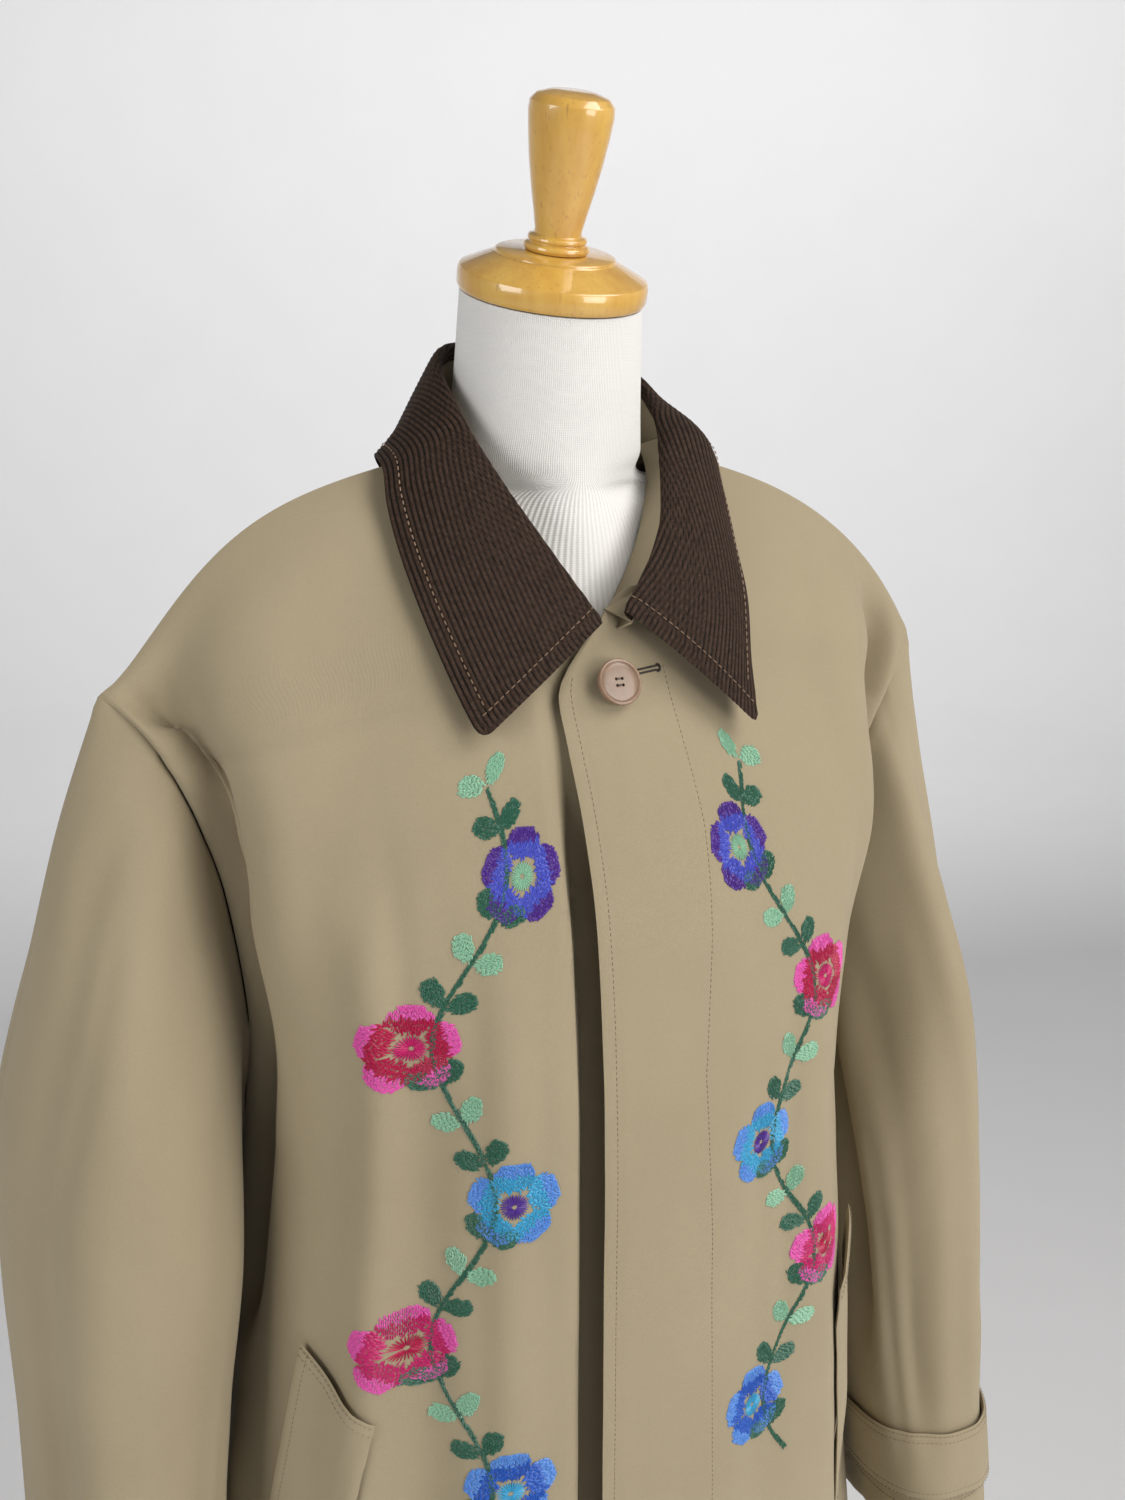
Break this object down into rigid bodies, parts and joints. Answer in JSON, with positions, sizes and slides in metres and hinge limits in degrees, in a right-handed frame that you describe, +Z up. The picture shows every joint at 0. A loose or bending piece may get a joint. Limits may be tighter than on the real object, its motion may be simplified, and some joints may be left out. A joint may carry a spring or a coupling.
{
  "type": "mac coat on a dress form",
  "caption": "Knee-length single-breasted mac coat with a fly front, a corduroy collar, slanted welt pockets and cuff tabs, hung on a padded dress form with a turned wooden cap and a pole stand.",
  "frame": {"origin": "centre of the base's underside on the floor", "axes": "+Z up, -Y out of the front of the coat, +X to the wearer's left"},
  "size_m": [0.6285, 0.3395, 1.5893],
  "materials": {
    "khaki_cotton": "brushed cotton drill",
    "brown_corduroy": "fine-wale corduroy",
    "white_jersey": "fine ribbed jersey",
    "varnished_wood": "clear gloss varnish",
    "cream_metal": "satin paint",
    "horn_button": "polished, slightly translucent"
  },
  "bodies": {
    "root": {"front_left": "khaki_cotton", "front_right": "khaki_cotton", "back": "khaki_cotton", "sleeve_left_front": "khaki_cotton", "sleeve_left_back": "khaki_cotton", "sleeve_right_front": "khaki_cotton", "sleeve_right_back": "khaki_cotton", "collar_stand": "khaki_cotton", "pocket_welt_left": "khaki_cotton", "pocket_welt_right": "khaki_cotton", "cuff_tab_left": "khaki_cotton", "cuff_tab_right": "khaki_cotton", "collar_leaf": "brown_corduroy", "form_torso": "white_jersey", "neck_cap": "varnished_wood", "cap_finial": "varnished_wood", "stand_pole": "cream_metal", "stand_base": "cream_metal", "top_button": "horn_button", "top_button_thread": "horn_button", "tab_button_left": "horn_button", "tab_button_left_thread": "horn_button", "tab_button_right": "horn_button", "tab_button_right_thread": "horn_button"}
  },
  "joints": []
}
